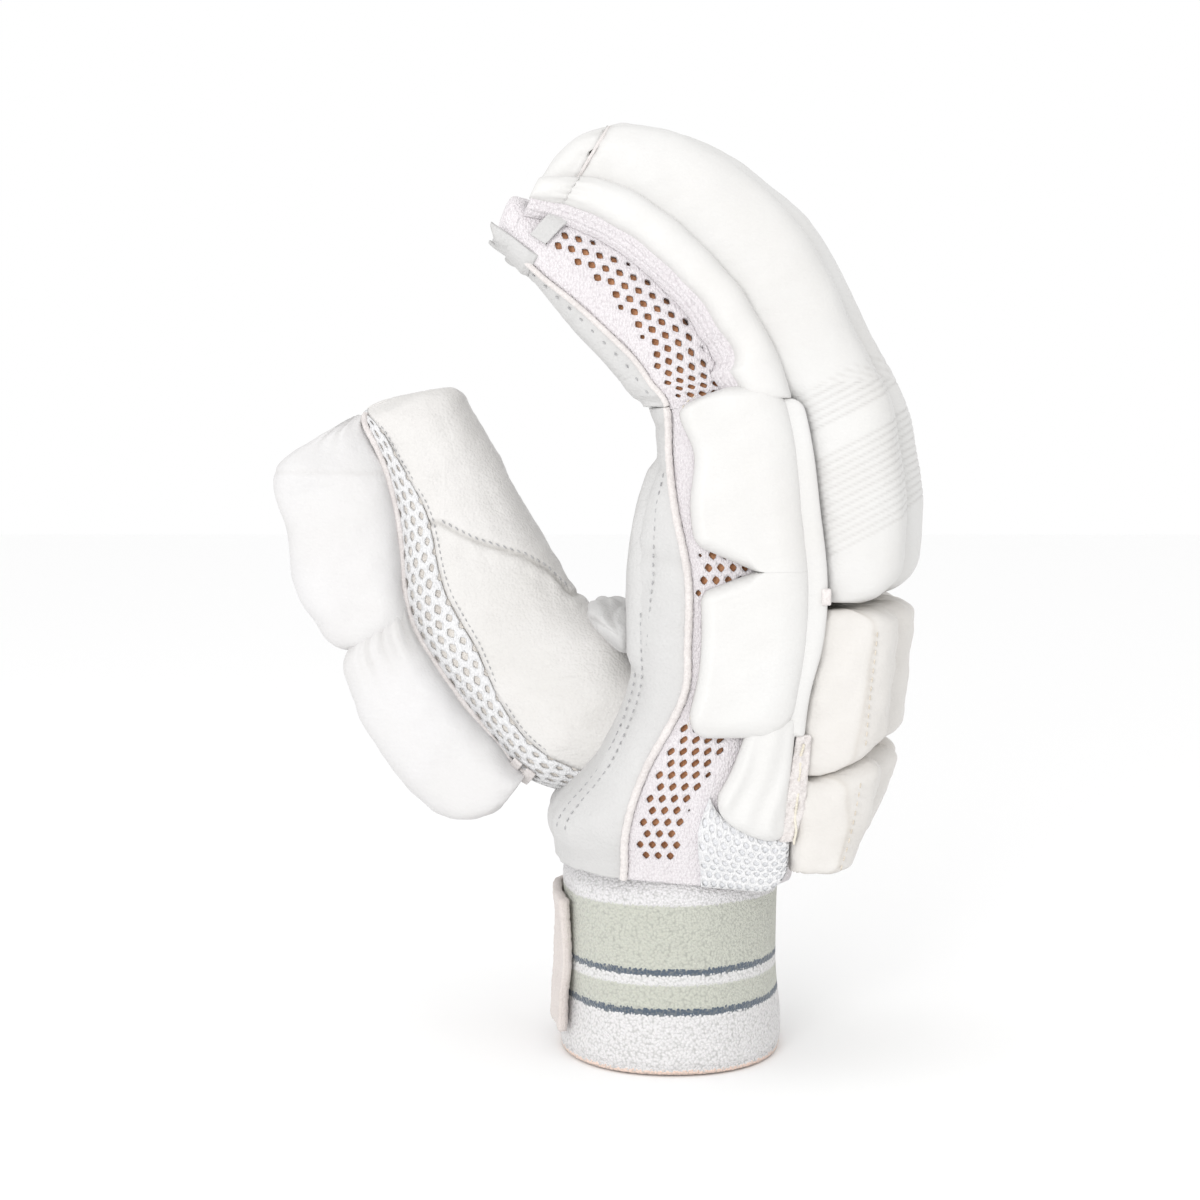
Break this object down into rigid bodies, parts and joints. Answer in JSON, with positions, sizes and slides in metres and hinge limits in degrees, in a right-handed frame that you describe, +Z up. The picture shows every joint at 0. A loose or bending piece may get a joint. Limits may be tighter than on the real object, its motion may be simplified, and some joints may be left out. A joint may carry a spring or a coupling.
{
  "type": "cricket batting glove",
  "caption": "Padded left-hand batting glove, worn form: knit cuff, leather palm, ribbed finger rolls, side bar and guarded thumb.",
  "frame": {"origin": "centre of the wrist opening at the lower rim of the cuff", "axes": "+Z up the hand to the fingers, -X the palm side, +X the back of the hand, -Y the little finger, +Y the thumb"},
  "size_m": [0.1862, 0.0948, 0.257],
  "materials": {
    "roll_leather": "soft white leather, satin",
    "block_leather": "warm white leather, matt",
    "palm_leather": "pale grey-white leather, matt",
    "thumb_leather": "white leather with a fine grain",
    "knit_mesh": "pierced white knit",
    "spacer_mesh": "thick grey-white mesh with closed holes",
    "lining": "tan-brown lining",
    "towelling": "knitted towelling with bands",
    "hook_tape": "beige-pink hook-and-loop tape",
    "edging": "cream edging"
  },
  "bodies": {
    "root": {"palm_leather": "palm_leather", "palm_patch": "palm_leather", "palm_binding": "edging", "side_mesh": "knit_mesh", "side_lining_hand": "lining", "back_panel": "knit_mesh", "radial_mesh": "knit_mesh", "gusset_little_outer": "knit_mesh", "side_lining_finger": "lining", "gusset_little_ring": "knit_mesh", "gusset_ring_middle": "knit_mesh", "gusset_middle_index": "knit_mesh", "gusset_index_outer": "knit_mesh", "tip_little": "knit_mesh", "hem_little": "palm_leather", "tip_ring": "knit_mesh", "hem_ring": "palm_leather", "tip_middle": "knit_mesh", "hem_middle": "palm_leather", "tip_index": "knit_mesh", "hem_index": "palm_leather", "roll_little": "roll_leather", "roll_cap_little": "roll_leather", "knuckle_block_little": "block_leather", "wrist_block_little": "block_leather", "roll_ring": "roll_leather", "roll_cap_ring": "roll_leather", "knuckle_block_ring": "block_leather", "wrist_block_ring": "block_leather", "roll_middle": "roll_leather", "roll_cap_middle": "roll_leather", "knuckle_block_middle": "block_leather", "wrist_block_middle": "block_leather", "roll_index": "roll_leather", "roll_cap_index": "roll_leather", "knuckle_block_index": "block_leather", "wrist_block_index": "block_leather", "side_roll": "roll_leather", "side_roll_cap": "roll_leather", "side_pad_upper": "roll_leather", "side_pad_lower": "roll_leather", "side_leather": "roll_leather", "seam_strip": "edging", "wrist_spacer": "spacer_mesh", "cuff": "towelling", "cuff_strap": "hook_tape", "thumb_leather": "thumb_leather", "thumb_mesh": "knit_mesh", "thumb_guard_lower": "block_leather", "thumb_guard_upper": "block_leather", "seam_tab": "edging", "thumb_tab_lower": "edging", "thumb_tab_upper": "edging"}
  },
  "joints": []
}
